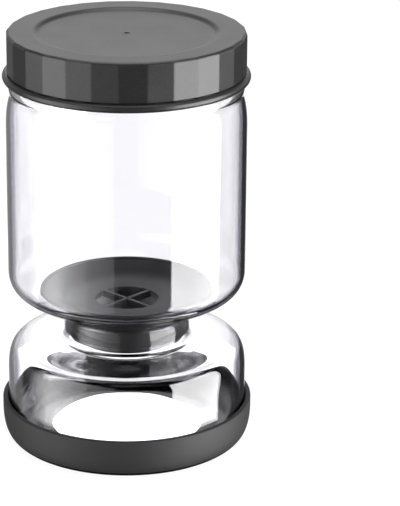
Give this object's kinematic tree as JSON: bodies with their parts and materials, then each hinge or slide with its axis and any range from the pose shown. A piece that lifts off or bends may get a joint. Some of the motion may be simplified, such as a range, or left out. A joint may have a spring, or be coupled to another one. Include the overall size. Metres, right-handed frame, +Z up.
{
  "type": "hourglass pickle keeper with lift-out strainer",
  "caption": "Hourglass glass jar with a tall upper chamber, a waist that holds a lift-out strainer, a low lower chamber, a faceted screw lid and a base boot.",
  "frame": {"origin": "centre of the boot's underside, on the surface that the keeper stands on", "axes": "+Z up along the jar's own axis, -Y towards the picture's viewer, +X to the viewer's right"},
  "size_m": [0.109, 0.109, 0.182],
  "materials": {
    "boot_silicone": "matte dark grey silicone",
    "clear_glass": "clear polished glass",
    "strainer_plastic": "satin dark grey plastic",
    "sleeve_silicone": "matte near-black silicone",
    "gasket_silicone": "matte pale silicone",
    "lid_plastic": "fine-grained dark grey plastic"
  },
  "bodies": {
    "boot": {"boot": "boot_silicone"},
    "jar": {"glass_jar": "clear_glass"},
    "strainer": {"strainer": "strainer_plastic", "strainer_sleeve": "sleeve_silicone"},
    "gasket": {"lid_gasket": "gasket_silicone"},
    "lid": {"lid": "lid_plastic"}
  },
  "joints": [
    {"name": "jar_lift", "type": "slide", "parent": "boot", "child": "jar", "axis": [0, 0, 1], "range_m": [0, 0.03]},
    {"name": "strainer_lift", "type": "slide", "parent": "jar", "child": "strainer", "axis": [0, 0, 1], "range_m": [0, 0.104]},
    {"name": "lid_lift", "type": "slide", "parent": "jar", "child": "gasket", "axis": [0, 0, 1], "range_m": [0, 0.045]},
    {"name": "lid_turn", "type": "hinge", "parent": "gasket", "child": "lid", "pos_m": [0, 0, 0.17], "axis": [0, 0, 1], "range_deg": [0, 360]}
  ]
}
